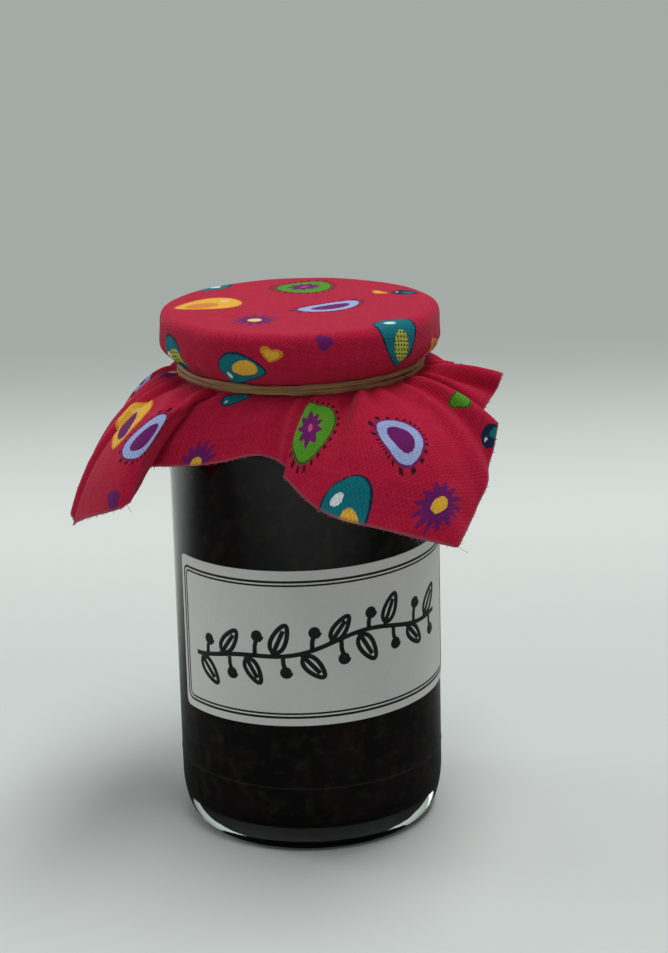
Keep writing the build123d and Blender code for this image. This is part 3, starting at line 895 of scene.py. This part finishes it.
shade = add(tree, "MapRange", {
    "Value": grain, "From Min": 0.3, "From Max": 0.7, "To Min": 0.80, "To Max": 1.16})
crossings = add(tree, "MapRange", {"Value": weave, "From Min": -1.0, "To Min": 0.9, "To Max": 1.08})
light_and_dark = add(tree, "Math", {0: shade, 1: crossings}, operation="MULTIPLY")
woven = add(tree, "VectorMath", {0: tone, "Scale": light_and_dark}, operation="SCALE")
wrong = add(tree, "Attribute", attribute_name="wrong_side")
through = add(tree, "MixRGB", {"Fac": 0.7, "Color1": woven, "Color2": RED_FADED})
sided = add(tree, "MixRGB", {"Fac": wrong.outputs["Fac"], "Color1": woven, "Color2": through})

# Raw edge: the outermost threads have lost their print and look pale.
from_middle = add(tree, "VectorMath", {0: flat_map, 1: (0.5, 0.5, 0.5)}, operation="SUBTRACT")
folded = add(tree, "VectorMath", {0: from_middle}, operation="ABSOLUTE")
both = add(tree, "SeparateXYZ", {"Vector": folded})
furthest = add(tree, "Math", {0: both.outputs["X"], 1: both.outputs["Y"]}, operation="MAXIMUM")
worn = add(tree, "MapRange", {
    "Value": furthest, "From Min": 0.5 - 0.7 / side_length, "From Max": 0.5 - 0.1 / side_length,
    "To Max": 0.6})
edged = add(tree, "MixRGB", {"Fac": worn, "Color1": sided, "Color2": RAW_EDGE})
height_of_weave = add(tree, "Math", {0: weave, 1: grain}, operation="ADD")
relief = add(tree, "Bump", {"Height": height_of_weave, "Strength": 0.5, "Distance": 0.12 * MM})
shader = add(tree, "BsdfPrincipled", {
    "Base Color": edged, "Roughness": 0.9, "Normal": relief, "Specular IOR Level": 0.15,
    "Sheen Weight": 0.06, "Sheen Roughness": 0.5})
add(tree, "OutputMaterial", {"Surface": shader})
cover.data.materials.append(cotton)


# ------------------------------------------------
# Frayed threads: ends of cotton thread that stand out of the raw hem all round. Most are short,
# and a few longer ones have worked loose.

FRAYED = 460
LOOSE_SHARE = 0.045
THREAD_RADIUS = 0.065
SUNK = 0.4              # start of each thread inside the cloth
YARN_PATCH_MM = 1.6

draws = np.random.default_rng(11)
frayed = round_line("frayed_threads", THREAD_RADIUS * MM, 0)
for number in draws.permutation(len(raw_edge))[:FRAYED]:
    middle, out, along, up = raw_edge[number]
    loose = draws.random() < LOOSE_SHARE
    length = draws.uniform(1.5, 3.6) if loose else draws.uniform(0.3, 0.9)
    lean, lift = draws.normal(0, 0.45), draws.normal(0, 0.15)
    curl_along, curl_up = draws.normal(0, 0.35, 2)
    heading = (out + along * lean + up * lift).normalized()
    bend = along * curl_along + up * curl_up
    spline = frayed.splines.new("POLY")
    spline.points.add(3)
    for point, share in zip(spline.points, (0, 0.33, 0.67, 1)):
        place = middle - out * SUNK + heading * (share * (length + SUNK)) + bend * (share**2 * length)
        point.co = (*(place * MM), 1)
threads_out = mesh_of(frayed)
close_caps()

# Loose cotton yarn: dyed outside, pale where the print did not reach its core.
yarn, tree = empty_material("loose_cotton_yarn")
place = add(tree, "TexCoord").outputs["Object"]
patches = add(tree, "TexNoise", {"Vector": place, "Scale": 1 / (YARN_PATCH_MM * MM), "Detail": 2.0})
dyed = add(tree, "MapRange", {"Value": patches, "From Min": 0.4, "From Max": 0.6})
tone = add(tree, "MixRGB", {"Fac": dyed, "Color1": RED, "Color2": RAW_EDGE})
shader = add(tree, "BsdfPrincipled", {"Base Color": tone, "Roughness": 0.95})
add(tree, "OutputMaterial", {"Surface": shader})
threads_out.data.materials.append(yarn)

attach(cover, "root")
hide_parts("cloth_cover")
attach(threads_out, "root")


# ------------------------------------------------
# Tie: raffia, a flat strip of dried palm leaf, passed twice round the neck over the cloth and
# knotted at the back, with two short ends. Its two turns lie one above the other.

KNOT_AZIMUTH = 168
STRAND_TALL, STRAND_THICK = 1.75, 0.9
KNOT_THICK, END_THICK = 1.24, 1.0
strand_radius = tie_high[0] - 0.55

strands = []
for name, side, seed in (("raffia_upper_turn", 1, 0.0), ("raffia_lower_turn", -1, 2.1)):
    bpy.ops.object.select_all(action="DESELECT")
    bpy.ops.mesh.primitive_torus_add(major_segments=180, minor_segments=12, major_radius=strand_radius,
                                     minor_radius=1.0)
    strand = bpy.context.object
    strand.name = name
    for vertex in strand.data.vertices:
        x, y, up = vertex.co
        angle = atan2(x, -y)
        out = hypot(x, y) - strand_radius
        wander = 0.22 * sin(3 * angle + seed) + 0.12 * sin(8 * angle + 2 * seed)
        ragged = 1 + 0.1 * sin(23 * angle + seed) + 0.06 * sin(51 * angle)
        radius = strand_radius + out * STRAND_THICK / 2 * ragged + 0.12 * sin(5 * angle + seed)
        level = tie_height + side * (STRAND_TALL / 2 - 0.1) + wander + up * STRAND_TALL / 2 * ragged
        vertex.co = Vector((radius * sin(angle), -radius * cos(angle), level)) * MM
    bpy.ops.object.shade_smooth()
    strands.append(strand)


def at_knot(along, out, up):
    """A point near the knot: mm along the strand, out from it, and up."""
    angle = radians(KNOT_AZIMUTH) + along / strand_radius
    radius = strand_radius + out
    return radius * sin(angle) * MM, -radius * cos(angle) * MM, (tie_height + up) * MM, 1


# Path of the knot and its two ends: over both turns, round behind, and out through its own loop.
KNOT_PATHS = (
    ("raffia_knot", (
        (-3.4, 0.2, 0.7), (-2.4, 0.9, 1.1), (-1.0, 1.3, 0.9), (0.4, 1.4, -0.3), (1.5, 1.1, -1.4),
        (0.7, 0.7, -1.9), (-0.5, 1.1, -1.3), (-1.2, 1.7, 0.1), (-0.2, 1.6, 1.4), (1.0, 1.0, 1.7),
        (2.2, 0.9, 0.7), (3.4, 0.2, -0.6))),
    ("raffia_end_short", (
        (0.2, 0.8, -0.4), (-1.0, 1.8, -0.8), (-3.0, 3.1, -1.5), (-5.2, 5.0, -2.9), (-7.0, 6.4, -4.4))),
    ("raffia_end_long", (
        (-0.2, 0.8, 0.2), (1.2, 2.0, -0.5), (3.4, 3.6, -1.0), (6.0, 5.6, -2.6), (8.4, 7.9, -5.0),
        (9.8, 9.0, -6.6))),
)
for name, path in KNOT_PATHS:
    curve = round_line(name, (KNOT_THICK if name == "raffia_knot" else END_THICK) / 2 * MM, 2)
    curve.resolution_u = 8
    spline = curve.splines.new("NURBS")
    spline.points.add(len(path) - 1)
    for point, (along, out, up) in zip(spline.points, path):
        point.co = at_knot(along, out, up)
    spline.order_u = 3
    spline.use_endpoint_u = True
    strand = mesh_of(curve)
    close_caps()
    bpy.ops.object.shade_smooth()
    strands.append(strand)

# Raffia: dull straw brown, with darker and paler fibres that run along the strip.
FIBRE_LONG_MM, FIBRE_FINE_MM = 14.0, 0.3
STAIN_MM = 8.0
LEAF_DARK, LEAF_PALE, LEAF_STAINED = "#84603a", "#c09763", "#74603c"
raffia, tree = empty_material("natural_raffia")
place = add(tree, "TexCoord").outputs["Object"]
parts = add(tree, "SeparateXYZ", {"Vector": place})
behind = add(tree, "Math", {0: parts.outputs["Y"], 1: -1.0}, operation="MULTIPLY")
turn_round = add(tree, "Math", {0: parts.outputs["X"], 1: behind}, operation="ARCTAN2")
run = add(tree, "Math", {0: turn_round, 1: strand_radius / FIBRE_LONG_MM}, operation="MULTIPLY")
level = add(tree, "Math", {0: parts.outputs["Z"], 1: 1 / (FIBRE_FINE_MM * MM)}, operation="MULTIPLY")
along_strip = add(tree, "CombineXYZ", {"X": run, "Y": level})
streaks = add(tree, "TexNoise", {"Vector": along_strip, "Scale": 1.0, "Detail": 3.0, "Roughness": 0.65})
stains = add(tree, "TexNoise", {"Vector": place, "Scale": 1 / (STAIN_MM * MM), "Detail": 2.0})
streak = add(tree, "MapRange", {"Value": streaks, "From Min": 0.35, "From Max": 0.65})
tone = add(tree, "MixRGB", {"Fac": streak, "Color1": LEAF_DARK, "Color2": LEAF_PALE})
stain = add(tree, "MapRange", {"Value": stains, "From Min": 0.5, "From Max": 0.75, "To Max": 0.45})
tone = add(tree, "MixRGB", {"Fac": stain, "Color1": tone, "Color2": LEAF_STAINED})
relief = add(tree, "Bump", {"Height": streaks, "Strength": 0.6, "Distance": 0.25 * MM})
shader = add(tree, "BsdfPrincipled", {"Base Color": tone, "Roughness": 0.62, "Normal": relief})
add(tree, "OutputMaterial", {"Surface": shader})
for strand in strands:
    strand.data.materials.clear()
    strand.data.materials.append(raffia)
    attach(strand, "root")
    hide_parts("raffia_tie")
